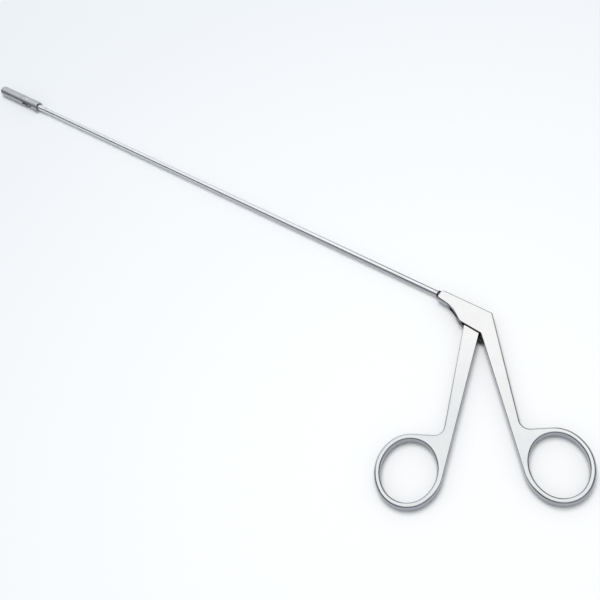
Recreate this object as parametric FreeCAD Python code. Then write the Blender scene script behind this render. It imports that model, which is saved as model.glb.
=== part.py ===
import FreeCAD, Part
import math
import os

V = FreeCAD.Vector

# Rigid biopsy forceps lying on its side, jaws closed, in millimetres.
# X runs along the shaft from the jaws to the finger rings, Z is up.
# The origin is on the underside, below the shaft axis, level with the handle's hinge.

# Handles
handle_thickness = 5.2
handle_edge_round = 0.45
arm_edge_round = 1.0        # upper edge along an arm's outer side
back_edge_round = 0.75      # upper edge along the body's straight back
hinge_drop = 4.8            # handle hinge below the shaft axis, the lever arm on the rod
handle_opening = 15.0       # degrees that the moving handle swings away
nose_x = -13.0              # front of the handle body
nose_depth = 2.75           # nose below the shaft axis
nose_round = 1.6
nose_corner_round = 1.2
nose_under_round = 1.8      # underside edge round the nose
tube_cover = 0.4            # metal over the tube along the body's straight back
belly_x = -5.2
belly_depth = 3.7
belly_round = 14.0
belly_under_round = 1.3     # underside edge along the belly
shoulder_x = 1.2
shoulder_depth = 8.35
shoulder_round = 2.5
crotch_x = 11.9
crotch_depth = 9.25
heel_x = 11.5
heel_round = 0.9
slit_gap = 0.38             # seen between the body and the moving handle's shoulder
moving_front_x = 3.7        # front corner of the moving handle's shoulder
moving_rear_x = 11.4
shoulder_corner_round = 0.4

# Finger rings, one shared form for both handles
ring_inner_long = 13.1      # half length of the finger opening, along the arm
ring_inner_wide = 11.25     # half width of the finger opening
ring_width = 2.4
ring_outer_round = 1.3
ring_inner_round = 1.0
neck_back = 17.1            # corner where the arm's outer edge turns into the ring
neck_side = 10.1
neck_round = 4.0
fixed_ring_x = 65.2
fixed_ring_y = -45.0
fixed_arm_heading = -48.2
moving_ring_x = 16.5
moving_ring_y = -76.4
moving_arm_heading = -71.8

# Fork in the fixed handle and tang of the moving one
fork_gap = 2.4              # slot between the two cheeks
fork_front_x = -6.2
fork_top = 1.05             # slot above the shaft axis
fork_back_x = 3.2
fork_step_depth = 1.8
fork_rear_x = 11.2
fork_rear_depth = 7.6
fork_corner_round = 0.5
tang_side_clearance = 0.05
tang_hub_radius = 2.4
tang_eye_radius = 0.95
tang_groove_floor = 1.35    # below the shaft axis
crosshead_slot_run = 0.2    # how much longer the tang's eye is than its pin

# Handle hinge
pivot_screw_radius = 1.0
pivot_head_radius = 1.8
pivot_head_height = 0.8
pivot_head_recess = 0.05
pivot_blind_skin = 0.4      # metal left over the screw's end, so that this face is bare
driver_slot_width = 0.5
driver_slot_depth = 0.35
driver_slot_turn = 35.0     # degrees from the shaft
pivot_sleeve_wall = 0.4
pivot_clearance = 0.03

# Shaft, from the rod outwards
rod_radius = 0.7
rod_passage_clearance = 0.1
guide_clearance = 0.02
guide_wall = 0.18
guide_length = 4.0
tube_wall = 0.35
tube_seat = 6.0             # depth of the tube in the handle's nose
collar_width = 1.2
collar_wall = 0.38
ferrule_length = 6.5
ferrule_wall = 0.42
ferrule_lip = 0.06

# Crosshead at the rear end of the rod
crosshead_radius = 1.0
crosshead_front_x = -5.2
crosshead_rear_x = -1.9
crosshead_tongue = 1.0
crosshead_eye_radius = 0.9
crosshead_pin_radius = 0.45
pin_clearance = 0.03
pin_end_gap = 0.05
lock_nut_width = 0.7
lock_nut_flat = 0.85        # half width across the nut's flats

# Head and jaws
head_radius = 2.55
head_rear_x = -266.6
head_length = 8.4           # from the jaw pivot back to the head's rear face
jaw_length = 21.6           # from the jaw pivot to the tip
jaw_opening = 25.0          # degrees for each jaw
jaw_parting = 0.02          # half the gap between the closed rims
cheek_round_radius = 3.4    # round front ends of the head's cheeks, about the jaw pivot
shoulder_clearance = 0.1
cup_wall = 0.7
cup_length = 12.2
head_fork_gap = 2.7
head_fork_depth = 4.65      # slot behind the jaw pivot
head_seat = 2.8             # depth of the tube in the head
head_recess_depth = 0.9
head_recess_radius = 2.05
jaw_pin_radius = 0.6
jaw_pin_clearance = 0.02
jaw_side_clearance = 0.05
jaw_hub_radius = 1.75
jaw_boss_radius = 1.3
jaw_skin = 0.05             # jaw tails lie this much inside the head's outline
neck_length = 5.0
drive_radius = 2.2          # from the jaw pivot to the drive pin, jaws closed
drive_pin_radius = 0.4
cam_steps = 8               # points along the cam slot's curve
tail_wall = 0.5
tail_clearance = 0.04       # jaw tail beside the rod's tongue
tongue_thickness = 0.76
tongue_half_height = 0.6
tongue_eye_radius = 0.75
tongue_flat_back = 3.6      # flat stretch behind the drive pin
tongue_shank = 5.0
spigot_radius = 0.4
spigot_length = 2.5

# Modelling limits
overrun = 1.0               # cuts reach this far past the metal they open
flat_limit = 1e-6           # an edge lower than this lies flat
join_limit = 1e-4           # points nearer than this are one corner

# Sizes that follow from the ones above
mid_z = handle_thickness / 2
hinge = V(0, -hinge_drop, 0)
tube_bore = rod_radius + guide_clearance + guide_wall
tube_radius = tube_bore + tube_wall
back_y = tube_radius + tube_cover
stroke = hinge_drop * math.radians(handle_opening)
jaw_rate = math.radians(jaw_opening) / stroke
tube_rear_x = nose_x + tube_seat
tube_front_x = head_rear_x - head_seat
tang_half = fork_gap / 2 - tang_side_clearance
jaw_pivot_x = head_rear_x - head_length
jaw_tip_x = jaw_pivot_x - jaw_length
drive_pin_x = jaw_pivot_x + drive_radius
tongue_rear_x = drive_pin_x + tongue_flat_back + tongue_shank
tail_inner = tongue_thickness / 2 + tail_clearance
tail_outer = head_fork_gap / 2 - jaw_side_clearance

# The ring's oval is drawn with four arcs: they meet in this direction from the long axis
ring_split = math.atan2(ring_inner_long, ring_inner_wide)
ring_end_out = (ring_inner_long - ring_inner_wide) / (1 + math.tan(ring_split) - 1 / math.cos(ring_split))
ring_side_out = ring_end_out * math.tan(ring_split)
ring_end_radius = ring_inner_long - ring_end_out
ring_side_radius = ring_inner_wide + ring_side_out


def cylinder(radius, start, end):
    """Round bar between two points."""
    run = end - start
    return Part.makeCylinder(radius, run.Length, start, run)


def along_shaft(radius, x_from, x_to):
    """Round bar on the shaft axis."""
    return cylinder(radius, V(x_from, 0, mid_z), V(x_to, 0, mid_z))


def upright(radius, x, y, z_from, z_to):
    """Round bar along Z."""
    return cylinder(radius, V(x, y, z_from), V(x, y, z_to))


def block(x_from, x_to, y_from, y_to, z_from, z_to):
    """Box between two corners."""
    size = (x_to - x_from, y_to - y_from, z_to - z_from)
    return Part.makeBox(*size, V(x_from, y_from, z_from))


def prism(edges, z_from, z_to):
    """Closed plan outline raised between two heights."""
    wire = Part.Wire(Part.__sortEdges__(edges))
    face = Part.Face(wire)
    face.translate(V(0, 0, z_from))
    return face.extrude(V(0, 0, z_to - z_from))


def round_corner(before, at, after, radius):
    """Start, middle and end of the arc that rounds one corner of a path."""
    back = (before - at).normalize()
    ahead = (after - at).normalize()
    half = back.getAngle(ahead) / 2
    run = radius / math.tan(half)
    middle_line = (back + ahead).normalize()
    centre = at + middle_line * (radius / math.sin(half))
    return at + back * run, centre - middle_line * radius, at + ahead * run


def rounded_path(corners):
    """Straight runs and arcs through corners given as (point, radius)."""
    edges = []
    last = corners[0][0]
    for index in range(1, len(corners) - 1):
        at, radius = corners[index]
        start, middle, end = round_corner(corners[index - 1][0], at, corners[index + 1][0], radius)
        edges.append(Part.LineSegment(last, start).toShape())
        edges.append(Part.Arc(start, middle, end).toShape())
        last = end
    edges.append(Part.LineSegment(last, corners[-1][0]).toShape())
    return edges


def rounded_loop(points, radius):
    """Closed path with the same radius at every corner."""
    ring = [points[-1]] + points + [points[0]]
    marks = []
    for index in range(1, len(points) + 1):
        marks.append(round_corner(ring[index - 1], ring[index], ring[index + 1], radius))
    edges = []
    for index, (start, middle, end) in enumerate(marks):
        following = marks[(index + 1) % len(marks)][0]
        edges.append(Part.Arc(start, middle, end).toShape())
        edges.append(Part.LineSegment(end, following).toShape())
    return edges


def touch_direction(u, v, radius, side):
    """Direction from a circle's centre to where a line from the point (u, v) touches it."""
    return math.atan2(v, u) + side * math.acos(radius / math.hypot(u, v))


class Ring:
    """Finger ring with its own axes: u along the arm, v towards the arm's inner edge."""

    def __init__(self, x, y, heading, hand):
        turn = math.radians(heading)
        self.centre = V(x, y, 0)
        self.u = V(math.cos(turn), math.sin(turn), 0)
        self.v = V(-math.sin(turn), math.cos(turn), 0) * hand

    def place(self, u, v):
        return self.centre + self.u * u + self.v * v

    def arc(self, centre_u, centre_v, radius, start, end):
        """Arc about one of the oval's four centres, between two directions."""
        marks = []
        for direction in (start, (start + end) / 2, end):
            u = centre_u + radius * math.cos(direction)
            v = centre_v + radius * math.sin(direction)
            marks.append(self.place(u, v))
        return Part.Arc(*marks).toShape()

    def opening(self):
        """Finger hole through the whole thickness."""
        outline = []
        for side, turn in ((1, 0), (-1, math.pi)):
            outline.append(self.arc(side * ring_end_out, 0, ring_end_radius,
                                    turn - ring_split, turn + ring_split))
            outline.append(self.arc(0, -side * ring_side_out, ring_side_radius,
                                    turn + ring_split, turn + math.pi - ring_split))
        return prism(outline, 0, handle_thickness)

    def outline(self, inner_corner):
        """Outer edge from the arm's neck round to the arm's straight inner edge."""
        inner = inner_corner - self.centre
        end = ring_end_radius + ring_width
        side = ring_side_radius + ring_width
        neck_touch = touch_direction(ring_end_out - neck_back, neck_side, end, 1)
        inner_touch = touch_direction(inner.dot(self.u), inner.dot(self.v) + ring_side_out, side, -1)
        return [
            self.arc(-ring_end_out, 0, end, neck_touch, math.pi + ring_split),
            self.arc(0, ring_side_out, side, math.pi + ring_split, 2 * math.pi - ring_split),
            self.arc(ring_end_out, 0, end, -ring_split, ring_split),
            self.arc(0, -ring_side_out, side, ring_split, inner_touch),
        ]


def round_edges(plate, round_at):
    """Rounds every flat edge of a plate, with a radius that runs from corner to corner."""
    document = FreeCAD.newDocument()
    base = document.addObject("Part::Feature", "Plate")
    base.Shape = plate
    fillet = document.addObject("Part::Fillet", "Rounded")
    fillet.Base = base
    marks = []
    for number, edge in enumerate(plate.Edges, 1):
        if edge.BoundBox.ZLength < flat_limit:
            start = edge.valueAt(edge.FirstParameter)
            end = edge.valueAt(edge.LastParameter)
            marks.append((number, round_at(start), round_at(end)))
    fillet.Edges = marks
    document.recompute()
    rounded = fillet.Shape.copy()
    FreeCAD.closeDocument(document.Name)
    return rounded


def flat_handle(corners, ring, inner_corner):
    """Flat forged handle: arm outline, round finger ring and opening.

    A corner is its point, its radius in plan, and the radii of its upper and its underside edge.
    """
    arcs = ring.outline(inner_corner)
    neck_end = arcs[0].valueAt(arcs[0].FirstParameter)
    inner_end = arcs[-1].valueAt(arcs[-1].LastParameter)
    small = handle_edge_round
    neck = (ring.place(-neck_back, neck_side), neck_round, arm_edge_round, small)
    path = [(inner_end, 0, small, small)] + corners + [neck, (neck_end, 0, arm_edge_round, small)]
    plate = prism(rounded_path([mark[:2] for mark in path]) + arcs, 0, handle_thickness)
    ring_marks = [arc.valueAt(arc.FirstParameter) for arc in arcs[1:]]

    def round_at(point):
        """Edge radius at one corner of the plate."""
        plan = V(point.x, point.y, 0)
        if min((plan - mark).Length for mark in ring_marks) < join_limit:
            return ring_outer_round
        nearest = min(path, key=lambda mark: (mark[0] - plan).Length)
        return nearest[2] if point.z > mid_z else nearest[3]

    plate = round_edges(plate, round_at)
    hole = ring.opening()
    plate = plate.cut(hole)
    inner_rims = []
    for edge in plate.Edges:
        middle = Part.Vertex(edge.valueAt((edge.FirstParameter + edge.LastParameter) / 2))
        if edge.BoundBox.ZLength < flat_limit and middle.distToShape(hole)[0] < flat_limit:
            inner_rims.append(edge)
    return plate.makeFillet(ring_inner_round, inner_rims)


def shoulder_line(x):
    """Height of the body's lower edge over the moving handle's shoulder."""
    share = (x - shoulder_x) / (crotch_x - shoulder_x)
    return -shoulder_depth - (crotch_depth - shoulder_depth) * share


def fixed_handle_plate():
    """Body with the straight back, curved belly, rear arm and ring."""
    ring = Ring(fixed_ring_x, fixed_ring_y, fixed_arm_heading, -1)
    crotch = V(crotch_x, -crotch_depth, 0)
    small = handle_edge_round
    corners = [
        (crotch, shoulder_corner_round, small, small),
        (V(shoulder_x, -shoulder_depth, 0), shoulder_round, small, belly_under_round),
        (V(belly_x, -belly_depth, 0), belly_round, small, belly_under_round),
        (V(nose_x, -nose_depth, 0), nose_corner_round, small, nose_under_round),
        (V(nose_x, back_y, 0), nose_round, back_edge_round, nose_under_round),
        (V(heel_x, back_y, 0), heel_round, back_edge_round, small),
    ]
    return flat_handle(corners, ring, crotch)


def fork_slot():
    """Space between the cheeks, for the tang and the crosshead."""
    below = crotch_depth + belly_depth
    outline = [
        V(fork_front_x, fork_top, 0),
        V(fork_back_x, fork_top, 0),
        V(fork_back_x, -fork_step_depth, 0),
        V(fork_rear_x, -fork_rear_depth, 0),
        V(crotch_x, -below, 0),
        V(fork_front_x, -below, 0),
    ]
    edges = rounded_loop(outline, fork_corner_round)
    return prism(edges, mid_z - fork_gap / 2, mid_z + fork_gap / 2)


def pivot_screw_solid():
    """Countersunk screw from the underside, its end hidden in the upper cheek."""
    head_top = pivot_head_recess + pivot_head_height
    end = handle_thickness - pivot_blind_skin
    start = V(0, -hinge_drop, pivot_head_recess)
    head = Part.makeCone(pivot_head_radius, pivot_screw_radius, pivot_head_height, start)
    return head.fuse(upright(pivot_screw_radius, 0, -hinge_drop, head_top, end)).removeSplitter()


def fixed_handle():
    mouth = upright(pivot_head_radius, 0, -hinge_drop, 0, pivot_head_recess)
    body = fixed_handle_plate().cut(fork_slot())
    body = body.cut(along_shaft(tube_radius, nose_x - overrun, tube_rear_x))
    passage = rod_radius + rod_passage_clearance
    body = body.cut(along_shaft(passage, tube_rear_x, fork_front_x + overrun))
    return body.cut(pivot_screw_solid()).cut(mouth)


def tang():
    """Flat lever inside the fork: hub on the hinge, slotted eye on the crosshead pin."""
    low = mid_z - tang_half
    high = mid_z + tang_half
    lean = math.asin((tang_hub_radius - tang_eye_radius) / hinge_drop)
    side = V(math.cos(lean), math.sin(lean), 0)
    other = V(-side.x, side.y, 0)
    neck = [
        hinge + side * tang_hub_radius,
        side * tang_eye_radius,
        other * tang_eye_radius,
        hinge + other * tang_hub_radius,
    ]
    front = V(moving_front_x, shoulder_line(moving_front_x) - slit_gap, 0)
    rear = V(moving_rear_x, shoulder_line(moving_rear_x) - slit_gap, 0)
    web = [
        hinge + V(-tang_hub_radius, -tang_hub_radius, 0).normalize() * tang_hub_radius,
        front + V(shoulder_corner_round, -2 * shoulder_corner_round, 0),
        rear + V(-shoulder_corner_round, -2 * shoulder_corner_round, 0),
        hinge + V(tang_hub_radius, tang_hub_radius, 0).normalize() * tang_hub_radius,
    ]
    shape = upright(tang_hub_radius, hinge.x, hinge.y, low, high)
    shape = shape.fuse(upright(tang_eye_radius, 0, 0, low, high))
    for outline in (neck, web):
        shape = shape.fuse(prism(Part.makePolygon(outline + outline[:1]).Edges, low, high))
    groove = crosshead_tongue / 2 + tang_side_clearance
    shape = shape.cut(block(-tang_hub_radius, tang_hub_radius, -tang_groove_floor, tang_hub_radius,
                            mid_z - groove, mid_z + groove))
    return shape.cut(tang_eye_slot())


def tang_eye_slot():
    """Long hole in the tang's eye, along the lever, for the crosshead pin."""
    radius = crosshead_pin_radius + pin_clearance
    run = crosshead_slot_run
    slot = upright(radius, 0, 0, 0, handle_thickness)
    slot = slot.fuse(upright(radius, 0, run, 0, handle_thickness))
    return slot.fuse(block(-radius, radius, 0, run, 0, handle_thickness))


def moving_handle():
    ring = Ring(moving_ring_x, moving_ring_y, moving_arm_heading, 1)
    rear = V(moving_rear_x, shoulder_line(moving_rear_x) - slit_gap, 0)
    front = V(moving_front_x, shoulder_line(moving_front_x) - slit_gap, 0)
    small = handle_edge_round
    corners = [(rear, shoulder_corner_round, small, small),
               (front, shoulder_corner_round, small, small)]
    body = flat_handle(corners, ring, rear).fuse(tang()).removeSplitter()
    sleeve = pivot_screw_radius + pivot_clearance + pivot_sleeve_wall
    return body.cut(upright(sleeve, 0, -hinge_drop, 0, handle_thickness))


def handle_pivot_screw():
    slot = block(-pivot_head_radius, pivot_head_radius, -driver_slot_width / 2, driver_slot_width / 2,
                 0, pivot_head_recess + driver_slot_depth)
    slot.rotate(V(0, 0, 0), V(0, 0, 1), driver_slot_turn)
    slot.translate(hinge)
    return pivot_screw_solid().cut(slot)


def pivot_sleeve():
    bore = pivot_screw_radius + pivot_clearance
    low = mid_z - tang_half
    high = mid_z + tang_half
    ring = upright(bore + pivot_sleeve_wall, 0, -hinge_drop, low, high)
    return ring.cut(upright(bore, 0, -hinge_drop, low, high))


def outer_tube():
    return along_shaft(tube_radius, tube_front_x, tube_rear_x).cut(
        along_shaft(tube_bore, tube_front_x, tube_rear_x))


def tube_collar():
    """Soldered ring where the tube leaves the handle's nose."""
    front = nose_x - collar_width
    ring = along_shaft(tube_radius + collar_wall, front + collar_wall / 2, nose_x)
    ring = ring.fuse(Part.makeCone(tube_radius + collar_wall / 2, tube_radius + collar_wall,
                                   collar_wall / 2, V(front, 0, mid_z), V(1, 0, 0)))
    return ring.removeSplitter().cut(along_shaft(tube_radius, front, nose_x))


def rod_guide(x_from, x_to):
    """Bush inside the tube that the rod slides in."""
    return along_shaft(tube_bore, x_from, x_to).cut(
        along_shaft(rod_radius + guide_clearance, x_from, x_to))


def head_ferrule():
    """Tapered sleeve in the head's rear recess, running out onto the tube."""
    front = head_rear_x - head_recess_depth
    cone = Part.makeCone(tube_radius + ferrule_wall, tube_radius + ferrule_lip, ferrule_length,
                         V(front, 0, mid_z), V(1, 0, 0))
    return cone.cut(along_shaft(tube_radius, front, front + ferrule_length))


def pull_rod():
    """Plain rod with a turned-down spigot in front, for the tongue."""
    spigot_root = tongue_rear_x
    rod = along_shaft(rod_radius, spigot_root, crosshead_rear_x)
    return rod.fuse(along_shaft(spigot_radius, spigot_root - spigot_length, spigot_root))


def rod_lock_nut():
    """Thin round nut with two flats, against the crosshead's front."""
    front = crosshead_front_x - lock_nut_width
    nut = along_shaft(crosshead_radius, front, crosshead_front_x)
    nut = nut.common(block(front, crosshead_front_x, -crosshead_radius, crosshead_radius,
                           mid_z - lock_nut_flat, mid_z + lock_nut_flat))
    return nut.cut(along_shaft(rod_radius, front, crosshead_front_x))


def rod_crosshead():
    """Round barrel on the rod, with a flat eye for the tang's pin."""
    barrel = along_shaft(crosshead_radius, crosshead_front_x, crosshead_rear_x)
    low = mid_z - crosshead_tongue / 2
    high = mid_z + crosshead_tongue / 2
    tongue = block(crosshead_rear_x, 0, -crosshead_eye_radius, crosshead_eye_radius, low, high)
    eye = upright(crosshead_eye_radius, 0, 0, low, high)
    shape = barrel.fuse(tongue).fuse(eye).removeSplitter()
    shape = shape.cut(along_shaft(rod_radius, crosshead_front_x, crosshead_rear_x))
    return shape.cut(upright(crosshead_pin_radius, 0, 0, low, high))


def crosshead_pin():
    half = fork_gap / 2 - tang_side_clearance - pin_end_gap
    return upright(crosshead_pin_radius, 0, 0, mid_z - half, mid_z + half)


def head_blank(rear_x):
    """Both closed jaws as one round bar with a round nose, before they are split."""
    middle = head_radius * math.sqrt(0.5)
    nose = jaw_tip_x + head_radius
    tip = V(jaw_tip_x, 0, 0)
    edge = V(nose, head_radius, 0)
    outline = [
        Part.Arc(tip, V(nose - middle, middle, 0), edge).toShape(),
        Part.LineSegment(edge, V(rear_x, head_radius, 0)).toShape(),
        Part.LineSegment(V(rear_x, head_radius, 0), V(rear_x, 0, 0)).toShape(),
        Part.LineSegment(V(rear_x, 0, 0), tip).toShape(),
    ]
    face = Part.Face(Part.Wire(Part.__sortEdges__(outline)))
    solid = face.revolve(V(0, 0, 0), V(1, 0, 0), 360)
    solid.translate(V(0, 0, mid_z))
    return solid


def cam_outline(half_width):
    """Outline about the drive pin's path, as seen by the turning jaw."""
    sides = ([], [])
    ends = []
    for step in range(cam_steps + 1):
        travel = stroke * step / cam_steps
        radius = drive_radius + travel
        turn = jaw_rate * travel
        out = V(math.cos(turn), math.sin(turn), 0)
        across = V(-out.y, out.x, 0)
        along = (out + across * (radius * jaw_rate)).normalize()
        normal = V(-along.y, along.x, 0)
        point = out * radius
        sides[0].append(point + normal * half_width)
        sides[1].append(point - normal * half_width)
        ends.append((point - along * half_width, point + along * half_width))
    edges = []
    for side in sides:
        curve = Part.BSplineCurve()
        curve.interpolate(side)
        edges.append(curve.toShape())
    edges.append(Part.Arc(sides[0][0], ends[0][0], sides[1][0]).toShape())
    edges.append(Part.Arc(sides[0][-1], ends[-1][1], sides[1][-1]).toShape())
    return edges


def jaw():
    """One cup jaw, the one that opens towards +Y, closed and in place."""
    pivot = V(jaw_pivot_x, 0, 0)
    low = mid_z + jaw_parting
    high = mid_z + tail_outer
    floor = mid_z + tail_inner
    shape = head_blank(jaw_pivot_x)
    reach = head_radius + overrun
    cheeks = upright(cheek_round_radius + shoulder_clearance, jaw_pivot_x, 0, mid_z - reach, mid_z + reach)
    shape = shape.cut(cheeks).cut(cup_hollow())
    neck = block(jaw_pivot_x - neck_length, jaw_pivot_x, jaw_parting, head_radius, low, high)
    hub = upright(jaw_hub_radius, jaw_pivot_x, 0, floor, high)
    boss = upright(jaw_boss_radius, jaw_pivot_x, 0, low, high)
    tail = prism(cam_outline(drive_pin_radius + pin_clearance + tail_wall), floor, high)
    tail.translate(pivot)
    inner = hub.fuse(boss).fuse(tail).fuse(neck)
    inner = inner.common(along_shaft(head_radius - jaw_skin, jaw_pivot_x - neck_length, head_rear_x))
    below = block(jaw_tip_x - overrun, jaw_pivot_x, -reach, jaw_parting, mid_z - reach, mid_z + reach)
    shape = shape.cut(below).fuse(inner).removeSplitter()
    slot = prism(cam_outline(drive_pin_radius + pin_clearance), low, high)
    slot.translate(pivot)
    shape = shape.cut(slot)
    return shape.cut(upright(jaw_pin_radius + jaw_pin_clearance, jaw_pivot_x, 0, low, high))


def cup_hollow():
    """Bite space, round inside like the head, closed at the back by a round end."""
    radius = head_radius - cup_wall
    front = jaw_tip_x + cup_wall + radius
    back = front - radius + cup_length - radius
    bar = along_shaft(radius, front, back)
    for x in (front, back):
        bar = bar.fuse(Part.makeSphere(radius, V(x, 0, mid_z)))
    return bar


def upper_jaw():
    return jaw()


def lower_jaw():
    """The same jaw turned half round the shaft axis."""
    other = jaw()
    other.rotate(V(0, 0, mid_z), V(1, 0, 0), 180)
    return other


def jaw_housing():
    """Head behind the jaws: two cheeks in front, tube socket and recess behind."""
    front = jaw_pivot_x - cheek_round_radius
    body = along_shaft(head_radius, front, head_rear_x)
    reach = head_radius + overrun
    rounds = upright(cheek_round_radius, jaw_pivot_x, 0, mid_z - reach, mid_z + reach)
    ends = block(front, jaw_pivot_x, -head_radius, head_radius, mid_z - head_radius, mid_z + head_radius)
    ends = ends.cut(rounds)
    slot = block(front - overrun, jaw_pivot_x + head_fork_depth, -reach, reach,
                 mid_z - head_fork_gap / 2, mid_z + head_fork_gap / 2)
    body = body.cut(ends).cut(slot)
    body = body.cut(along_shaft(tube_radius, tube_front_x, head_rear_x))
    passage = math.hypot(tongue_thickness / 2, tongue_half_height) + guide_clearance
    body = body.cut(along_shaft(passage, jaw_pivot_x, tube_front_x))
    body = body.cut(along_shaft(head_recess_radius, head_rear_x - head_recess_depth, head_rear_x))
    return body.cut(upright(jaw_pin_radius, jaw_pivot_x, 0, mid_z - reach, mid_z + reach))


def jaw_pivot_pin():
    half = head_radius - jaw_skin
    return upright(jaw_pin_radius, jaw_pivot_x, 0, mid_z - half, mid_z + half)


def rod_tongue():
    """Flat front end of the rod, with the eye that carries the drive pin."""
    low = mid_z - tongue_thickness / 2
    high = mid_z + tongue_thickness / 2
    flat_end = drive_pin_x + tongue_flat_back
    shape = block(drive_pin_x, flat_end, -tongue_half_height, tongue_half_height, low, high)
    shape = shape.fuse(upright(tongue_eye_radius, drive_pin_x, 0, low, high))
    shape = shape.fuse(along_shaft(rod_radius, flat_end, tongue_rear_x)).removeSplitter()
    shape = shape.cut(along_shaft(spigot_radius, tongue_rear_x - spigot_length, tongue_rear_x))
    return shape.cut(upright(drive_pin_radius, drive_pin_x, 0, low, high))


def jaw_drive_pin():
    half = tail_outer - jaw_parting
    return upright(drive_pin_radius, drive_pin_x, 0, mid_z - half, mid_z + half)


def main():
    os.makedirs("parts", exist_ok=True)
    parts = {
        "fixed_handle": fixed_handle(),
        "moving_handle": moving_handle(),
        "handle_pivot_screw": handle_pivot_screw(),
        "pivot_sleeve": pivot_sleeve(),
        "outer_tube": outer_tube(),
        "tube_collar": tube_collar(),
        "rear_rod_guide": rod_guide(tube_rear_x - guide_length, tube_rear_x),
        "front_rod_guide": rod_guide(tube_front_x, tube_front_x + guide_length),
        "head_ferrule": head_ferrule(),
        "pull_rod": pull_rod(),
        "rod_lock_nut": rod_lock_nut(),
        "rod_crosshead": rod_crosshead(),
        "crosshead_pin": crosshead_pin(),
        "rod_tongue": rod_tongue(),
        "jaw_drive_pin": jaw_drive_pin(),
        "jaw_housing": jaw_housing(),
        "jaw_pivot_pin": jaw_pivot_pin(),
        "upper_jaw": upper_jaw(),
        "lower_jaw": lower_jaw(),
    }
    for name, shape in parts.items():
        shape.exportStep(os.path.join("parts", name + ".step"))
        print(name, "solids", len(shape.Solids), "valid", shape.isValid(),
              "volume %.3f" % shape.Volume)


main()
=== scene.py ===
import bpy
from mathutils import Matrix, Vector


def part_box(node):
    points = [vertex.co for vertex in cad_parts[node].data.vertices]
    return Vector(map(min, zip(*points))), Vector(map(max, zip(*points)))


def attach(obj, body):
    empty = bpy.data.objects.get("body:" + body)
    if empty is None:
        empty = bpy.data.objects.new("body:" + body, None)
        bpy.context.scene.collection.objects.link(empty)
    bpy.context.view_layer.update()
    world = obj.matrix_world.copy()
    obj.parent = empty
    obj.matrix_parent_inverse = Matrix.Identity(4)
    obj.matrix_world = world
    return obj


bl_info = {
    "name": "Biopsy forceps",
    "version": (1, 0, 0),
    "blender": (4, 5, 0),
    "location": "3D View > Sidebar > Forceps",
    "description": "Steel biopsy forceps on a white table, dressed for the studio",
    "category": "Object",
}

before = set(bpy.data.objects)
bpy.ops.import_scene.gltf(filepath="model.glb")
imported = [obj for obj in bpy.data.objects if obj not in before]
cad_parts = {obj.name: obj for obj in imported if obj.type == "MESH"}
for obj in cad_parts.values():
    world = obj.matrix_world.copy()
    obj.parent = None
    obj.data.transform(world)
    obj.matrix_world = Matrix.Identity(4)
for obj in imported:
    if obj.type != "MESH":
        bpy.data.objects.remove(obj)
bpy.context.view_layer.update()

import math

import bmesh
import bpy
from bpy.props import FloatProperty, FloatVectorProperty, IntProperty, PointerProperty
from bpy.types import NodeSocket, Operator, Panel, PropertyGroup
from mathutils import Matrix, Vector

# Which finish each part of the frame gets
FINISHES = {
    "polished_steel": ["handle_pivot_screw", "outer_tube", "head_ferrule", "jaw_pivot_pin"],
    "jaw_steel": ["jaw_housing", "upper_jaw", "lower_jaw"],
    "rod_steel": ["pull_rod", "rod_lock_nut", "rod_crosshead", "crosshead_pin", "rod_tongue",
                  "jaw_drive_pin"],
    "silver_solder": ["tube_collar"],
    "bearing_bronze": ["pivot_sleeve"],
    "guide_polymer": ["rear_rod_guide", "front_rod_guide"],
}
# Direction of each arm from the hinge to its ring, in degrees, along which it is brushed
ARM_HEADINGS = {"fixed_handle": -48.2, "moving_handle": -71.8}
# Heights between which a flat face inside the fork gets painted shade, and how level it is to count as flat
SLOT_LOW = 0.0010
SLOT_HIGH = 0.0042
SLOT_LEVEL = 0.9
# Middle, turn and half lengths of the painted shade along the belly: at the fork's mouth, and on the edge
# between it and the nose
BELLY_SHADES = (
    ((0.00255, -0.0078, 0.0030), math.radians(-20.9), (0.0115, 0.0024, 0.0021)),
    ((-0.0116, -0.0028, 0.0047), math.radians(-17.0), (0.0068, 0.0020, 0.00047)),
)
# Plan of the gap between the arms: where each inner edge starts, and how far it leans per length down
FRONT_ARM_EDGE = (0.0114, -0.00959, 0.2915)
REAR_ARM_EDGE = (0.0119, -0.00925, 0.961)

# How far a surface faces up where the painted shade of its edges starts and where it is full, and how much of
# that painted shade an upright wall keeps; the rims' gloss and the shaft's painted side shade follow the same
# measure
HANDLE_EDGE = (0.97, 0.65, 0.85)
HANDLE_RIM = (0.999, 0.93)
SHAFT_SIDE = (0.97, 0.58)
# Places along Y between which the handles' faces darken to the painted shade at the rings
RING_FADE = (-0.014, -0.050)
# Places along X between which the painted shade on the shaft's sides changes to its far tone and the sides
# grow dull, and the roughness that they gain
SHAFT_FADE = (-0.03, -0.24)
SHAFT_DULLING = 0.16
# Scales of the fine lines and of the cloudy marks on each kind of surface
GRAINS = {
    "handle": (9000.0, 220.0),
    "jaw": (9000.0, 300.0),
    "plain": (7000.0, 300.0),
    "solder": (3000.0, 300.0),
    "guide": (4000.0, 400.0),
}
# Squeeze of a position that draws noise out into lines along Y
LINE_SQUEEZE = (1.0, 0.05, 1.0)
# Values between which nearly all of a noise lies
NOISE_REACH = (0.3, 0.7)
# Turns of the lines: along the shaft, across it, and round a guide
ALONG_SHAFT = (0.0, 0.0, math.pi / 2)
ACROSS_SHAFT = (0.0, 0.0, 0.0)
ROUND_GUIDE = (0.0, math.pi / 2, 0.0)
# Strength of the cloudy marks, and tone of a marked place against a clean one
HANDLE_WEAR = 0.08
METAL_CLOUD = 0.6
METAL_MARK = 0.86
GUIDE_MARK = 0.93
# Height of the brushed lines as a share of the grain depth, and what they do to the roughness
HANDLE_BUMP = 0.35
METAL_BUMP = 0.25
HANDLE_GLOSS = (-0.06, 0.06)
METAL_GLOSS = (-0.04, 0.05)
GUIDE_GLOSS = (0.42, 0.55)
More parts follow.
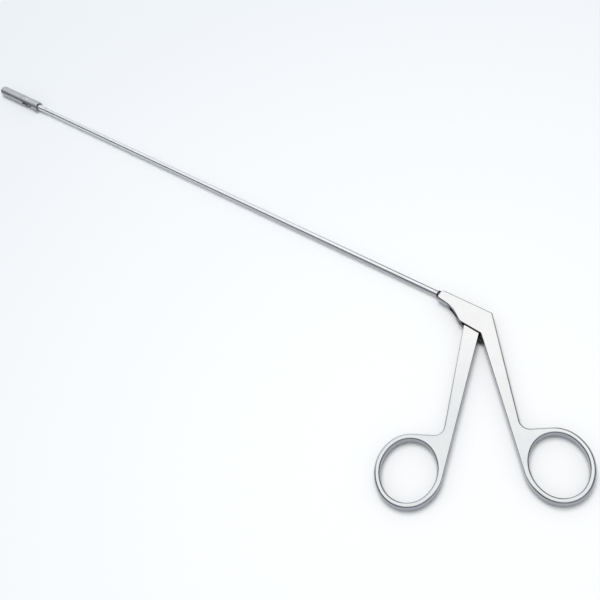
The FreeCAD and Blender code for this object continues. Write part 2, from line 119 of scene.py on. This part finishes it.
# Roughness of the hidden and the plain surfaces, and of the web at its top and at its end
ROD_ROUGHNESS = 0.28
BRONZE_ROUGHNESS = 0.35
SOLDER_ROUGHNESS = 0.42
BRIGHT_SOLDER_ROUGHNESS = 0.35
TABLE_ROUGHNESS = 0.8
CARD_ROUGHNESS = 0.9
WEB_ROUGHNESS = (0.45, 0.60)

# Steps round a bead's section and round the ring of cards, and of the web's rounded edges
BEAD_SIDES = 16
CARD_SIDES = 96
WEB_STEPS = 3
WEB_SMOOTHING = math.radians(35)
# Points of a spun bead that are nearer than this are one point
MERGE_REACH = 1e-7

# Gap that keeps the table clear of the handles, and the nearest place that the camera sees
TABLE_GAP = 0.00002
NEAREST_SEEN = 0.01
# Colours of the cards, of the room as it lights the table, of the room as it is seen, and of the lamp
CARD_DARK = (0.03, 0.03, 0.035)
CARD_PALE = (0.85, 0.87, 0.90)
ROOM_TINT = (0.90, 0.94, 1.0)
ROOM_WHITE = (1.0, 1.0, 1.0)
LAMP_TINT = (1.0, 0.99, 0.97)
# How far up a direction points where the room leaves its side light and where it has its top light
ROOM_RISE = (0.05, 0.5)
# Shares of the cards' radius, measured towards the window, between which the cards turn pale in the
# window and half pale on the far side
WINDOW_EDGE = (0.80, 0.88)
FAR_EDGE = (-0.55, -0.9)
FAR_PALE = 0.5


def colour(name, description, default):
    """Colour setting with red, green and blue."""
    return FloatVectorProperty(name=name, description=description, subtype="COLOR",
                               size=3, min=0.0, max=1.0, default=default)


def share(name, description, default):
    """Setting between 0 and 1."""
    return FloatProperty(name=name, description=description, subtype="FACTOR",
                         min=0.0, max=1.0, default=default)


def length(name, description, default):
    """Length setting in metres."""
    return FloatProperty(name=name, description=description, subtype="DISTANCE",
                         unit="LENGTH", precision=5, default=default)


def spot(name, description, default):
    """Place setting in metres."""
    return FloatVectorProperty(name=name, description=description, subtype="TRANSLATION",
                               unit="LENGTH", size=3, default=default)


class ForcepsFinish(PropertyGroup):
    """Colours and surface of the metals."""

    satin_face: colour("Satin face", "Flat faces of the handles", (0.96, 0.965, 0.95))
    # Painted shade: the flat faces darker and cooler towards the finger rings
    painted_ring_shade: colour("Painted ring shade", "The same faces down at the finger rings", (0.83, 0.855, 0.86))
    # Painted shade: dark tone on the rounded edges and walls, standing in for their dark reflections
    painted_wall_shade: colour("Painted wall shade", "Rounded edges of the handles", (0.29, 0.30, 0.33))
    # Painted shade: near-black faces inside the fork and along the belly, where shade falls
    painted_slot_shade: colour("Slot", "Faces inside the fork, dark with use", (0.02, 0.02, 0.022))
    satin_wear: colour("Satin wear", "Cloudy marks on the flat faces", (0.55, 0.56, 0.56))
    satin_roughness: share("Satin roughness", "Roughness of the flat handle faces", 0.34)
    rim_roughness: share("Rim roughness", "Roughness of the rounded, polished rims", 0.20)
    tube_steel: colour("Tube steel", "Polished tube, ferrule, pins and screw", (0.93, 0.94, 0.95))
    # Painted shade: polished steel darkened where it turns down, standing in for the dark reflections on its
    # sides
    painted_tube_shade: colour("Tube painted shade", "Polished steel where it turns down to the table", (0.30, 0.31, 0.33))
    # Painted shade on the tube's sides near the head
    painted_tube_shade_far: colour("Tube far painted shade", "The same near the head, where it is duller", (0.85, 0.86, 0.87))
    tube_roughness: share("Tube roughness", "Roughness of the polished tube", 0.11)
    jaw_steel: colour("Jaw steel", "Head and both cup jaws", (0.68, 0.69, 0.70))
    # Painted shade: head and jaws darkened where they turn down
    painted_jaw_shade: colour("Jaw painted shade", "Head and jaws where they turn down to the table", (0.48, 0.49, 0.50))
    jaw_roughness: share("Jaw roughness", "Roughness of the head and jaws", 0.42)
    rod_steel: colour("Rod steel", "Pull rod and its joints", (0.55, 0.56, 0.57))
    # Partly painted shade: near-black solder, also standing in for the shade round the collar at the nose
    solder: colour("Solder", "Dull silver solder round the tube", (0.09, 0.09, 0.095))
    bronze: colour("Bronze", "Bearing sleeve of the handle hinge", (0.62, 0.47, 0.28))
    polymer: colour("Polymer", "White guides of the rod", (0.88, 0.88, 0.86))
    grain_depth: length("Grain depth", "Height of the brushed grain", 0.000004)


class ForcepsSolder(PropertyGroup):
    """Solder beads round the tube."""

    bead_radius: length("Bead radius", "Half thickness of a bead", 0.00016)
    bead_squash: share("Bead squash", "Height of a bead against its width", 0.8)
    segments: IntProperty(name="Segments", description="Steps round a bead", min=12, max=256, default=64)


class ForcepsWeb(PropertyGroup):
    """Thin web between the arms, just below the crotch, on the moving handle's tang; near-black, it also
    stands in for the shade in the gap.
    """

    top: length("Top", "Start of the web below the crotch", 0.0009)
    depth: length("Depth", "End of the web below the crotch", 0.0029)
    fade: length("Fade", "Length over which the web turns greyer towards its end", 0.0009)
    gap: length("Gap", "Space left beside the rear arm", 0.0002)
    sink: length("Sink", "How far the web reaches into the front arm", 0.0005)
    rounding: length("Rounding", "Radius of the web's edges", 0.0002)


class ForcepsStage(PropertyGroup):
    """Camera, table and lights."""

    camera_place: spot("Camera place", "Where the camera stands", (0.099837, -0.164832, 0.349040))
    camera_target: spot("Camera target", "Point on the table at the centre of view",
                        (-0.068148, -0.031078, 0.0))
    camera_roll: FloatProperty(name="Camera roll", description="Turn of the camera about its view",
                               subtype="ANGLE", unit="ROTATION", default=math.radians(-20.0))
    lens: FloatProperty(name="Lens", description="Focal length in millimetres", min=1.0, default=54.0)
    sensor: FloatProperty(name="Sensor", description="Sensor width in millimetres", min=1.0, default=36.0)
    # Painted light: the table is painted brighter in its middle and darker and cooler towards its edge
    floor_centre: colour("Table centre", "Table colour in its bright middle", (0.970, 0.972, 0.966))
    floor_edge: colour("Table edge", "Table colour far from the middle", (0.820, 0.840, 0.855))
    floor_painted_light_middle: spot("Table middle", "Brightest place of the table", (0.06, -0.10, 0.0))
    floor_near: length("Table bright reach", "Distance at which the table starts to fall off", 0.03)
    floor_far: length("Table far reach", "Distance at which the table has its edge colour", 0.44)
    floor_size: length("Table size", "Side of the square table", 4.0)
    key_power: FloatProperty(name="Key power", description="Power of the soft key lamp in watts",
                             subtype="POWER", unit="POWER", min=0.0, default=15.5)
    key_size: length("Key size", "Side of the soft key lamp", 0.85)
    key_place: spot("Key place", "Where the key lamp hangs", (-0.20, 0.16, 1.62))
    sky_top: share("Room light above", "Brightness of the room overhead", 0.58)
    sky_side: share("Room light at the side", "Brightness of the room near the table's level", 0.35)
    sky_seen: share("Room colour", "Brightness of the white room as it is seen and reflected", 1.0)
    card_radius: length("Card radius", "Distance of the dark cards round the table", 1.0)
    card_height: length("Card height", "Height of the dark cards round the table", 0.84)
    card_fade: length("Card fade", "Height from which the cards turn pale", 0.50)
    card_window: FloatVectorProperty(name="Card window", description="Direction in which the cards are pale",
                                     subtype="DIRECTION", size=3, default=(-0.87, 0.50, 0.0))


def settings(context, group):
    """One property group of the scene."""
    return getattr(context.scene, group)


def wire(tree, kind, values=None, **attributes):
    """New node with its attributes and input values set, or linked from another node's output."""
    made = tree.nodes.new(kind)
    for name, value in attributes.items():
        setattr(made, name, value)
    for key, value in (values or {}).items():
        if isinstance(value, NodeSocket):
            tree.links.new(value, made.inputs[key])
        else:
            made.inputs[key].default_value = value
    return made


def coordinate(tree, kind="Object"):
    """Texture coordinate of one kind."""
    return wire(tree, "ShaderNodeTexCoord").outputs[kind]


def component(tree, vector, axis):
    """One component of a vector."""
    return wire(tree, "ShaderNodeSeparateXYZ", {0: vector}).outputs[axis]


def maths(tree, operation, *values):
    """Result of one calculation."""
    return wire(tree, "ShaderNodeMath", dict(enumerate(values)), operation=operation).outputs[0]


def measure(tree, operation, *vectors):
    """Length, distance or dot product of vectors."""
    return wire(tree, "ShaderNodeVectorMath", dict(enumerate(vectors)), operation=operation).outputs["Value"]


def spread(tree, value, start, end, low=0.0, high=1.0, soft=False):
    """Value that goes from low to high while another one goes from start to end."""
    ends = {"Value": value, "From Min": start, "From Max": end, "To Min": low, "To Max": high}
    course = "SMOOTHSTEP" if soft else "LINEAR"
    return wire(tree, "ShaderNodeMapRange", ends, interpolation_type=course).outputs[0]


def stretch(tree, axis, start, end, low=0.0, high=1.0):
    """Value that goes from low to high between two places along one axis of the object."""
    return spread(tree, component(tree, coordinate(tree), axis), start, end, low, high)


def noisy(tree, value, low, high):
    """Noise spread over two values."""
    return spread(tree, value, *NOISE_REACH, low, high)


def opaque(shade):
    """Colour with full alpha, or another node's output as it is."""
    if isinstance(shade, NodeSocket):
        return shade
    return (shade[0], shade[1], shade[2], 1.0)


def tinted(tree, factor, low, high):
    """Mix of two colours by a mask."""
    ends = {0: factor, 6: opaque(low), 7: opaque(high)}
    return wire(tree, "ShaderNodeMix", ends, data_type="RGBA").outputs[2]


def blended(tree, factor, low, high):
    """Mix of two numbers by a mask."""
    return wire(tree, "ShaderNodeMix", {0: factor, 2: low, 3: high}, data_type="FLOAT").outputs[0]


def new_group(name, inputs, outputs):
    """Empty node group, the values that it is given and the values that it puts out."""
    tree = bpy.data.node_groups.new(name, "ShaderNodeTree")
    for label, kind in inputs.items():
        tree.interface.new_socket(label, in_out="INPUT", socket_type=kind)
    for label in outputs:
        tree.interface.new_socket(label, in_out="OUTPUT", socket_type="NodeSocketFloat")
    entry = tree.nodes.new("NodeGroupInput")
    leave = tree.nodes.new("NodeGroupOutput")
    return tree, entry.outputs, leave.inputs


def grain_group():
    """Brushed metal: fine lines along Y of the given position, and soft cloudy marks."""
    found = bpy.data.node_groups.get("Brushed grain")
    if found:
        return found
    inputs = {"Position": "NodeSocketVector", "Line scale": "NodeSocketFloat",
              "Cloud scale": "NodeSocketFloat"}
    tree, given, result = new_group("Brushed grain", inputs, ["Lines", "Cloud"])
    squeezed = wire(tree, "ShaderNodeVectorMath", {0: given["Position"], 1: LINE_SQUEEZE},
                    operation="MULTIPLY")
    lines = wire(tree, "ShaderNodeTexNoise", {"Vector": squeezed.outputs[0], "Scale": given["Line scale"],
                                              "Detail": 5.0, "Roughness": 0.65})
    cloud = wire(tree, "ShaderNodeTexNoise", {"Vector": given["Position"], "Scale": given["Cloud scale"],
                                              "Detail": 3.0, "Roughness": 0.55})
    tree.links.new(lines.outputs[0], result["Lines"])
    tree.links.new(cloud.outputs[0], result["Cloud"])
    return tree


def grain_nodes(tree, turn, kind):
    """Brushed grain of one kind of surface, on turned object coordinates."""
    line_scale, cloud_scale = GRAINS[kind]
    turned = wire(tree, "ShaderNodeMapping", {"Vector": coordinate(tree), "Rotation": turn})
    return wire(tree, "ShaderNodeGroup", {"Position": turned.outputs[0], "Line scale": line_scale,
                                          "Cloud scale": cloud_scale}, node_tree=grain_group())


def slope_group():
    """Mask of rounded edges: none on flat faces, full on the slope, less again on upright walls."""
    found = bpy.data.node_groups.get("Slope")
    if found:
        return found
    inputs = {"Start": "NodeSocketFloat", "Full": "NodeSocketFloat", "Upright": "NodeSocketFloat"}
    tree, given, result = new_group("Slope", inputs, ["Mask"])
    level = maths(tree, "ABSOLUTE", component(tree, coordinate(tree, "Normal"), "Z"))
    rise = spread(tree, level, given["Start"], given["Full"])
    fall = spread(tree, level, 0.0, given["Full"], given["Upright"])
    tree.links.new(maths(tree, "MULTIPLY", rise, fall), result["Mask"])
    return tree


def slope(tree, start, full, upright=1.0):
    """Slope mask between two heights of the surface's upward direction."""
    return wire(tree, "ShaderNodeGroup", {"Start": start, "Full": full, "Upright": upright},
                node_tree=slope_group()).outputs[0]


def slot_group():
    """Mask of painted shade: flat faces between two heights, inside the fork, and places along the belly."""
    found = bpy.data.node_groups.get("Painted slot shade")
    if found:
        return found
    inputs = {"Low": "NodeSocketFloat", "High": "NodeSocketFloat"}
    tree, given, result = new_group("Painted slot shade", inputs, ["Mask"])
    level = maths(tree, "ABSOLUTE", component(tree, coordinate(tree, "Normal"), "Z"))
    flat = maths(tree, "GREATER_THAN", level, SLOT_LEVEL)
    height = component(tree, coordinate(tree), "Z")
    above = maths(tree, "GREATER_THAN", height, given["Low"])
    below = maths(tree, "LESS_THAN", height, given["High"])
    mask = maths(tree, "MULTIPLY", maths(tree, "MULTIPLY", above, below), flat)
    for middle, turn, reach in BELLY_SHADES:
        near = wire(tree, "ShaderNodeMapping", {"Vector": coordinate(tree), "Location": middle,
                                                "Rotation": (0.0, 0.0, turn), "Scale": reach},
                    vector_type="TEXTURE")
        shade = maths(tree, "LESS_THAN", measure(tree, "LENGTH", near.outputs[0]), 1.0)
        mask = maths(tree, "MAXIMUM", mask, shade)
    tree.links.new(mask, result["Mask"])
    return tree


def new_material(name):
    """Empty material with its output and principled shader."""
    material = bpy.data.materials.new(name)
    material.use_nodes = True
    tree = material.node_tree
    tree.nodes.clear()
    shader = tree.nodes.new("ShaderNodeBsdfPrincipled")
    output = tree.nodes.new("ShaderNodeOutputMaterial")
    tree.links.new(shader.outputs[0], output.inputs["Surface"])
    return material, tree, shader


def surface(tree, shader, tone, roughness):
    """Give a shader its colour and roughness, each from a node or as one value all over."""
    for name, value in (("Base Color", tone), ("Roughness", roughness)):
        if isinstance(value, NodeSocket):
            tree.links.new(value, shader.inputs[name])
        else:
            shader.inputs[name].default_value = value


def brushed(tree, shader, lines, strength, depth):
    """Make a shader metal, with brushed lines that stand up from the surface."""
    bump = wire(tree, "ShaderNodeBump", {"Strength": strength, "Distance": depth, "Height": lines})
    tree.links.new(bump.outputs[0], shader.inputs["Normal"])
    shader.inputs["Metallic"].default_value = 1.0


def satin_handle_material(finish, name, heading):
    """Satin faces brushed along the arm, polished rims, painted shade on the walls, in the fork and towards
    the rings, and cloudy wear.
    """
    material, tree, shader = new_material(name)
    grain = grain_nodes(tree, (0.0, 0.0, -heading), "handle")
    slot = wire(tree, "ShaderNodeGroup", {"Low": SLOT_LOW, "High": SLOT_HIGH}, node_tree=slot_group())
    # Painted shade: the faces darken towards the rings
    faces = tinted(tree, stretch(tree, "Y", *RING_FADE), finish.satin_face, finish.painted_ring_shade)
    # Painted shade on the rounded edges and walls
    edge_shaded = tinted(tree, slope(tree, *HANDLE_EDGE), faces, finish.painted_wall_shade)
    # Painted shade in the fork and along the belly
    slot_shaded = tinted(tree, slot.outputs[0], edge_shaded, finish.painted_slot_shade)
    shaded_and_worn = tinted(tree, noisy(tree, grain.outputs["Cloud"], 0.0, HANDLE_WEAR), slot_shaded, finish.satin_wear)
    smoother, rougher = HANDLE_GLOSS
    satin = noisy(tree, grain.outputs["Lines"], finish.satin_roughness + smoother,
                  finish.satin_roughness + rougher)
    surface(tree, shader, shaded_and_worn, blended(tree, slope(tree, *HANDLE_RIM), satin, finish.rim_roughness))
    brushed(tree, shader, grain.outputs["Lines"], HANDLE_BUMP, finish.grain_depth)
    return material


def plain_metal_material(finish, name, rgb, roughness, turn, kind="plain", side=None, far_shade_and_dulling=None):
    """Metal with fine grain, faint cloudy marks, and, when given, painted shade on its sides that changes
    tone and turns duller far along the shaft.
    """
    material, tree, shader = new_material(name)
    grain = grain_nodes(tree, turn, kind)
    marked = [channel * METAL_MARK for channel in rgb]
    tone = tinted(tree, noisy(tree, grain.outputs["Cloud"], 0.0, METAL_CLOUD), rgb, marked)
    if side:
        # Painted shade on the sides, changing tone along the shaft
        side_shades = tinted(tree, stretch(tree, "X", *SHAFT_FADE), side, far_shade_and_dulling or side)
        tone = tinted(tree, slope(tree, *SHAFT_SIDE), tone, side_shades)
    smoother, rougher = METAL_GLOSS
    rough = noisy(tree, grain.outputs["Lines"], roughness + smoother, roughness + rougher)
    if far_shade_and_dulling:
        rough = maths(tree, "ADD", rough, stretch(tree, "X", *SHAFT_FADE, 0.0, SHAFT_DULLING))
    surface(tree, shader, tone, rough)
    brushed(tree, shader, grain.outputs["Lines"], METAL_BUMP, finish.grain_depth)
    return material


def polymer_material(finish):
    """Plain white guide material with a faint turned texture."""
    material, tree, shader = new_material("Guide polymer")
    grain = grain_nodes(tree, ROUND_GUIDE, "guide")
    marked = [channel * GUIDE_MARK for channel in finish.polymer]
    surface(tree, shader, tinted(tree, noisy(tree, grain.outputs["Cloud"], 0.0, 1.0), finish.polymer, marked),
            noisy(tree, grain.outputs["Lines"], *GUIDE_GLOSS))
    return material


def web_material(finish, start_y, end_y):
    """Painted shade: steel as dark as the fork's painted slot shade, greyer and rougher at the web's end."""
    material, tree, shader = new_material("Web painted shade")
    tone = tinted(tree, stretch(tree, "Y", start_y, end_y), finish.painted_slot_shade, finish.solder)
    surface(tree, shader, tone, stretch(tree, "Y", start_y, end_y, *WEB_ROUGHNESS))
    shader.inputs["Metallic"].default_value = 1.0
    return material


def dress(names, material):
    """Give nodes of the frame one material."""
    for name in names:
        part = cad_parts[name]
        if not part.data.materials:
            part.data.materials.append(material)
        for slot in part.material_slots:
            slot.material = material


def deselect():
    """Leave nothing selected before a new piece is added."""
    bpy.ops.object.select_all(action="DESELECT")


def settle():
    """Put the new piece's place into its mesh, so that its object sits at the origin."""
    bpy.ops.object.transform_apply(location=True, rotation=True, scale=True)


def solder_ring(name, x, radius, body, sizes, material):
    """Rounded solder bead round the shaft, spun from its squashed section."""
    deselect()
    axis_z = sum(corner[2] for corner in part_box("outer_tube")) / 2
    bpy.ops.mesh.primitive_circle_add(vertices=BEAD_SIDES, radius=sizes.bead_radius, fill_type="NOTHING",
                                      location=(x, radius, axis_z))
    bead = bpy.context.object
    bead.name = name
    settle()
    bpy.ops.object.mode_set(mode="EDIT")
    bpy.ops.mesh.select_all(action="SELECT")
    bpy.ops.transform.resize(value=(1.0, sizes.bead_squash, 1.0), center_override=(x, radius, axis_z))
    bpy.ops.mesh.spin(steps=sizes.segments, angle=2 * math.pi, center=(x, 0.0, axis_z), axis=(1.0, 0.0, 0.0))
    bpy.ops.mesh.select_all(action="SELECT")
    bpy.ops.mesh.remove_doubles(threshold=MERGE_REACH)
    bpy.ops.mesh.normals_make_consistent(inside=False)
    bpy.ops.object.mode_set(mode="OBJECT")
    bpy.ops.object.shade_smooth()
    bead.data.materials.append(material)
    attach(bead, body)


def edge_x(edge, y):
    """Place of an arm's inner edge along X at one level of the gap."""
    start_x, start_y, lean = edge
    return start_x + (start_y - y) * lean


def select_near(mesh, place, reach):
    """Select only the points of an edited mesh that lie close to a place."""
    bpy.ops.mesh.select_all(action="DESELECT")
    edited = bmesh.from_edit_mesh(mesh)
    for vert in edited.verts:
        vert.select_set((vert.co - Vector(place)).length < reach)
    edited.select_flush_mode()
    bmesh.update_edit_mesh(mesh)


def crotch_web(sizes, low, high, top_y, end_y, material):
    """Rounded web: a small square whose corners are moved to the gap's plan, then raised and bevelled."""
    plan = [
        (edge_x(FRONT_ARM_EDGE, end_y) - sizes.sink, end_y),
        (edge_x(REAR_ARM_EDGE, end_y) - sizes.gap, end_y),
        (edge_x(FRONT_ARM_EDGE, top_y) - sizes.sink, top_y),
        (edge_x(REAR_ARM_EDGE, top_y) - sizes.gap, top_y),
    ]
    deselect()
    side = sizes.depth - sizes.top
    middle = (REAR_ARM_EDGE[0], (top_y + end_y) / 2, low)
    bpy.ops.mesh.primitive_plane_add(size=side, location=middle)
    web = bpy.context.object
    web.name = "crotch_web"
    settle()
    corners = [(middle[0] + x * side / 2, middle[1] + y * side / 2, low) for y in (-1, 1) for x in (-1, 1)]
    bpy.ops.object.mode_set(mode="EDIT")
    for corner, (x, y) in zip(corners, plan):
        select_near(web.data, corner, side / 4)
        bpy.ops.transform.translate(value=(x - corner[0], y - corner[1], 0.0))
    bpy.ops.mesh.select_all(action="SELECT")
    bpy.ops.mesh.extrude_region_move(TRANSFORM_OT_translate={"value": (0.0, 0.0, high - low)})
    bpy.ops.mesh.select_all(action="SELECT")
    bpy.ops.mesh.bevel(offset=sizes.rounding, segments=WEB_STEPS)
    bpy.ops.mesh.select_all(action="SELECT")
    bpy.ops.mesh.normals_make_consistent(inside=False)
    bpy.ops.object.mode_set(mode="OBJECT")
    bpy.ops.object.shade_smooth_by_angle(angle=WEB_SMOOTHING)
    web.data.materials.append(material)
    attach(web, "lever")


class FORCEPS_OT_handles(Operator):
    """Give both handles their brushed satin steel with polished rims"""

    bl_idname = "forceps.handles"
    bl_label = "Handles"

    def execute(self, context):
        finish = settings(context, "forceps_finish")
        for name, heading in ARM_HEADINGS.items():
            label = name.replace("_", " ").capitalize() + " steel"
            turn = math.radians(heading) - math.pi / 2
            dress([name], satin_handle_material(finish, label, turn))
        return {"FINISHED"}


class FORCEPS_OT_web(Operator):
    """Fill the narrow end of the gap between the arms with the tang's thin web, near-black with painted shade
    """

    bl_idname = "forceps.web"
    bl_label = "Web"

    def execute(self, context):
        finish = settings(context, "forceps_finish")
        sizes = settings(context, "forceps_web")
        low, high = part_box("pivot_sleeve")
        top_y = REAR_ARM_EDGE[1] - sizes.top
        end_y = REAR_ARM_EDGE[1] - sizes.depth
        # Painted shade, greyer towards the web's end
        material = web_material(finish, end_y + sizes.fade, end_y)
        crotch_web(sizes, low[2], high[2], top_y, end_y, material)
        return {"FINISHED"}


class FORCEPS_OT_shaft(Operator):
    """Give the tube, ferrule, screw and pins their polished steel"""

    bl_idname = "forceps.shaft"
    bl_label = "Shaft"

    def execute(self, context):
        finish = settings(context, "forceps_finish")
        polished = plain_metal_material(finish, "Polished steel", finish.tube_steel, finish.tube_roughness,
                                        ALONG_SHAFT, side=finish.painted_tube_shade, far_shade_and_dulling=finish.painted_tube_shade_far)
        dress(FINISHES["polished_steel"], polished)
        return {"FINISHED"}


class FORCEPS_OT_head(Operator):
    """Give the head and both cup jaws their fine satin steel"""

    bl_idname = "forceps.head"
    bl_label = "Head and jaws"

    def execute(self, context):
        finish = settings(context, "forceps_finish")
        # Jaw steel with painted shade on its sides
        metal = plain_metal_material(finish, "Jaw steel", finish.jaw_steel, finish.jaw_roughness,
                                     ACROSS_SHAFT, "jaw", finish.painted_jaw_shade)
        dress(FINISHES["jaw_steel"], metal)
        return {"FINISHED"}


class FORCEPS_OT_linkage(Operator):
    """Give the rod, crosshead, pins, sleeve and guides their finishes"""

    bl_idname = "forceps.linkage"
    bl_label = "Linkage"

    def execute(self, context):
        finish = settings(context, "forceps_finish")
        ground = plain_metal_material(finish, "Ground steel", finish.rod_steel, ROD_ROUGHNESS, ACROSS_SHAFT)
        bronze = plain_metal_material(finish, "Bearing bronze", finish.bronze, BRONZE_ROUGHNESS, ACROSS_SHAFT)
        dress(FINISHES["rod_steel"], ground)
        dress(FINISHES["bearing_bronze"], bronze)
        dress(FINISHES["guide_polymer"], polymer_material(finish))
        return {"FINISHED"}


class FORCEPS_OT_solder(Operator):
    """Dress the collar at the nose, and run a solder bead round the tube there and at the ferrule; the nose's
    near-black solder is partly painted shade
    """

    bl_idname = "forceps.solder"
    bl_label = "Solder"

    def execute(self, context):
        finish = settings(context, "forceps_finish")
        sizes = settings(context, "forceps_solder")
        # Near-black solder, partly painted shade at the nose's collar
        metal = plain_metal_material(finish, "Solder with painted shade", finish.solder, SOLDER_ROUGHNESS,
                                     ACROSS_SHAFT, "solder")
        bright = plain_metal_material(finish, "Bright solder", finish.jaw_steel, BRIGHT_SOLDER_ROUGHNESS,
                                      ACROSS_SHAFT, "solder")
        dress(FINISHES["silver_solder"], metal)
        collar_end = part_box("tube_collar")[0][0]
        ferrule_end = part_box("head_ferrule")[1][0]
        tube_low, tube_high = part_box("outer_tube")
        tube_radius = (tube_high[2] - tube_low[2]) / 2
        solder_ring("nose_solder", collar_end, tube_radius, "frame", sizes, metal)
        solder_ring("ferrule_solder", ferrule_end, tube_radius, "frame", sizes, bright)
        return {"FINISHED"}


def table_material(stage):
    """Pale table with a painted pool of light: a little darker and cooler away from its bright middle."""
    material, tree, shader = new_material("White table")
    away = measure(tree, "DISTANCE", coordinate(tree), tuple(stage.floor_painted_light_middle))
    falloff = spread(tree, away, stage.floor_near, stage.floor_far, soft=True)
    surface(tree, shader, tinted(tree, falloff, stage.floor_centre, stage.floor_edge), TABLE_ROUGHNESS)
    shader.inputs["Specular IOR Level"].default_value = 0.0
    return material


def light_room(context, stage):
    """Soft room light, bright overhead and dimmer near the table's level, and white where it is seen."""
    world = bpy.data.worlds.new("Studio room")
    context.scene.world = world
    world.use_nodes = True
    tree = world.node_tree
    tree.nodes.clear()
    up = component(tree, coordinate(tree, "Generated"), "Z")
    light = spread(tree, up, *ROOM_RISE, stage.sky_side, stage.sky_top, soft=True)
    ray = wire(tree, "ShaderNodeLightPath").outputs
    direct = maths(tree, "MAXIMUM", ray["Is Camera Ray"], ray["Is Glossy Ray"])
    seen = maths(tree, "MAXIMUM", direct, ray["Is Transmission Ray"])
    sky = wire(tree, "ShaderNodeBackground", {"Color": tinted(tree, seen, ROOM_TINT, ROOM_WHITE),
                                              "Strength": blended(tree, seen, light, stage.sky_seen)})
    output = tree.nodes.new("ShaderNodeOutputWorld")
    tree.links.new(sky.outputs[0], output.inputs["Surface"])


def card_material(stage):
    """Dark card that is pale above, in the window and, by half, on the far side."""
    material, tree, shader = new_material("Dark card")
    height = component(tree, coordinate(tree), "Z")
    raised = spread(tree, height, stage.card_fade, stage.card_height)
    along = measure(tree, "DOT_PRODUCT", coordinate(tree), tuple(stage.card_window))
    window = spread(tree, along, *(edge * stage.card_radius for edge in WINDOW_EDGE))
    behind = spread(tree, along, *(edge * stage.card_radius for edge in FAR_EDGE), high=FAR_PALE)
    pale = maths(tree, "MAXIMUM", raised, maths(tree, "MAXIMUM", window, behind))
    surface(tree, shader, tinted(tree, pale, CARD_DARK, CARD_PALE), CARD_ROUGHNESS)
    return material


def dark_cards(context, stage):
    """Ring of cards round the table, seen only in the steel, where they draw the edges."""
    deselect()
    bpy.ops.mesh.primitive_cylinder_add(vertices=CARD_SIDES, radius=stage.card_radius,
                                        depth=stage.card_height, end_fill_type="NOTHING",
                                        location=(stage.camera_target[0], stage.camera_target[1],
                                                  stage.card_height / 2))
    cards = context.object
    cards.name = "dark_cards"
    settle()
    cards.data.materials.append(card_material(stage))
    cards.visible_camera = False
    cards.visible_diffuse = False
    cards.visible_shadow = False


def aim(thing, place, target, roll=0.0):
    """Stand a camera or lamp at a place and turn it to a target."""
    thing.location = place
    turn = (Vector(target) - Vector(place)).to_track_quat("-Z", "Y").to_matrix()
    thing.rotation_euler = (turn @ Matrix.Rotation(roll, 3, "Z")).to_euler()


def set_camera(context, stage):
    """Camera that looks down on the whole instrument from the side of the rings."""
    lens = bpy.data.cameras.new("Camera")
    lens.sensor_fit = "HORIZONTAL"
    lens.sensor_width = stage.sensor
    lens.lens = stage.lens
    lens.clip_start = NEAREST_SEEN
    camera = bpy.data.objects.new("Camera", lens)
    context.scene.collection.objects.link(camera)
    aim(camera, stage.camera_place, stage.camera_target, stage.camera_roll)
    context.scene.camera = camera


def lay_table(context, stage):
    """Table just below the handles."""
    deselect()
    bpy.ops.mesh.primitive_plane_add(size=stage.floor_size, location=(0.0, 0.0, -TABLE_GAP))
    table = context.object
    table.name = "table"
    table.data.materials.append(table_material(stage))


def hang_lamp(context, stage):
    """Soft square key lamp, kept out of the steel's reflections."""
    lamp = bpy.data.lights.new("Key lamp", "AREA")
    lamp.shape = "SQUARE"
    lamp.size = stage.key_size
    lamp.energy = stage.key_power
    lamp.color = LAMP_TINT
    key = bpy.data.objects.new("Key lamp", lamp)
    context.scene.collection.objects.link(key)
    aim(key, stage.key_place, stage.camera_target)
    key.visible_glossy = False


class FORCEPS_OT_stage(Operator):
    """Set up the camera, the white table, the soft lamp, the cards and the room light"""

    bl_idname = "forceps.stage"
    bl_label = "Stage"

    def execute(self, context):
        stage = settings(context, "forceps_stage")
        set_camera(context, stage)
        lay_table(context, stage)
        hang_lamp(context, stage)
        dark_cards(context, stage)
        light_room(context, stage)
        context.scene.view_settings.view_transform = "Standard"
        return {"FINISHED"}


class FORCEPS_PT_panel(Panel):
    """Lists the steps that dress the forceps"""

    bl_idname = "FORCEPS_PT_panel"
    bl_label = "Biopsy forceps"
    bl_space_type = "VIEW_3D"
    bl_region_type = "UI"
    bl_category = "Forceps"

    def draw(self, context):
        layout = self.layout
        for step in STEPS:
            layout.operator(step.bl_idname)
        for group in GROUPS:
            values = settings(context, group)
            for name in values.__annotations__:
                layout.prop(values, name)


GROUPS = {
    "forceps_finish": ForcepsFinish,
    "forceps_solder": ForcepsSolder,
    "forceps_web": ForcepsWeb,
    "forceps_stage": ForcepsStage,
}
STEPS = (
    FORCEPS_OT_stage,
    FORCEPS_OT_handles,
    FORCEPS_OT_web,
    FORCEPS_OT_shaft,
    FORCEPS_OT_head,
    FORCEPS_OT_linkage,
    FORCEPS_OT_solder,
)


def register():
    for group in GROUPS.values():
        bpy.utils.register_class(group)
    for name, group in GROUPS.items():
        setattr(bpy.types.Scene, name, PointerProperty(type=group))
    for step in STEPS:
        bpy.utils.register_class(step)
    bpy.utils.register_class(FORCEPS_PT_panel)


def unregister():
    bpy.utils.unregister_class(FORCEPS_PT_panel)
    for step in reversed(STEPS):
        bpy.utils.unregister_class(step)
    for name, group in GROUPS.items():
        delattr(bpy.types.Scene, name)
        bpy.utils.unregister_class(group)


def main():
    register()
    bpy.ops.forceps.stage()
    bpy.ops.forceps.handles()
    bpy.ops.forceps.web()
    bpy.ops.forceps.shaft()
    bpy.ops.forceps.head()
    bpy.ops.forceps.linkage()
    bpy.ops.forceps.solder()


if __name__ == "__main__":
    main()
